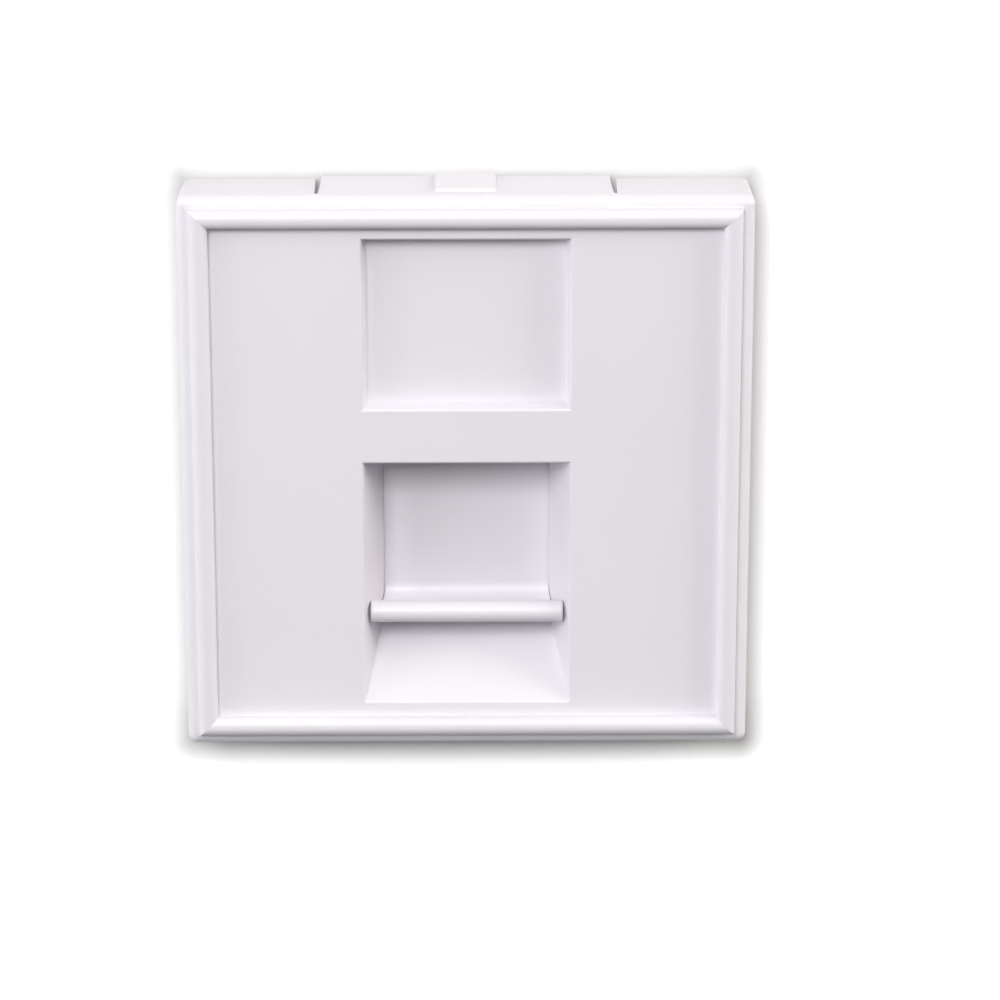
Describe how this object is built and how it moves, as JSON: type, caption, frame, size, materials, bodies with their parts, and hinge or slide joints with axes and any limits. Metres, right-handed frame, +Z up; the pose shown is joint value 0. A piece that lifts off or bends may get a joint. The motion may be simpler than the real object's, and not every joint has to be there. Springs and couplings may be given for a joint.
{
  "type": "outlet faceplate",
  "caption": "Square snap-in wall outlet faceplate with a raised rounded rim, a bare label recess and a tapered port recess closed by a sliding dust shutter with a push bar and a return spring",
  "frame": {"origin": "middle of the rear rim plane of the square front, where the module seats in its support", "axes": "X right, Y back into the wall, Z up; the face looks along -Y"},
  "size_m": [0.045, 0.018, 0.0462],
  "materials": {
    "front_moulding": "satin moulded",
    "shutter_moulding": "satin moulded",
    "spring_wire": "drawn wire",
    "carrier_moulding": "plain moulded"
  },
  "bodies": {
    "housing": {"front_frame": "front_moulding", "jack_carrier": "carrier_moulding", "return_spring": "spring_wire"},
    "shutter": {"shutter": "shutter_moulding"}
  },
  "joints": [
    {"name": "shutter_slide", "type": "slide", "parent": "housing", "child": "shutter", "axis": [0, 0, 1], "range_m": [0, 0.0112], "stiffness_N_per_m": 12, "springref_m": -0.012, "deforming": ["return_spring"]}
  ]
}
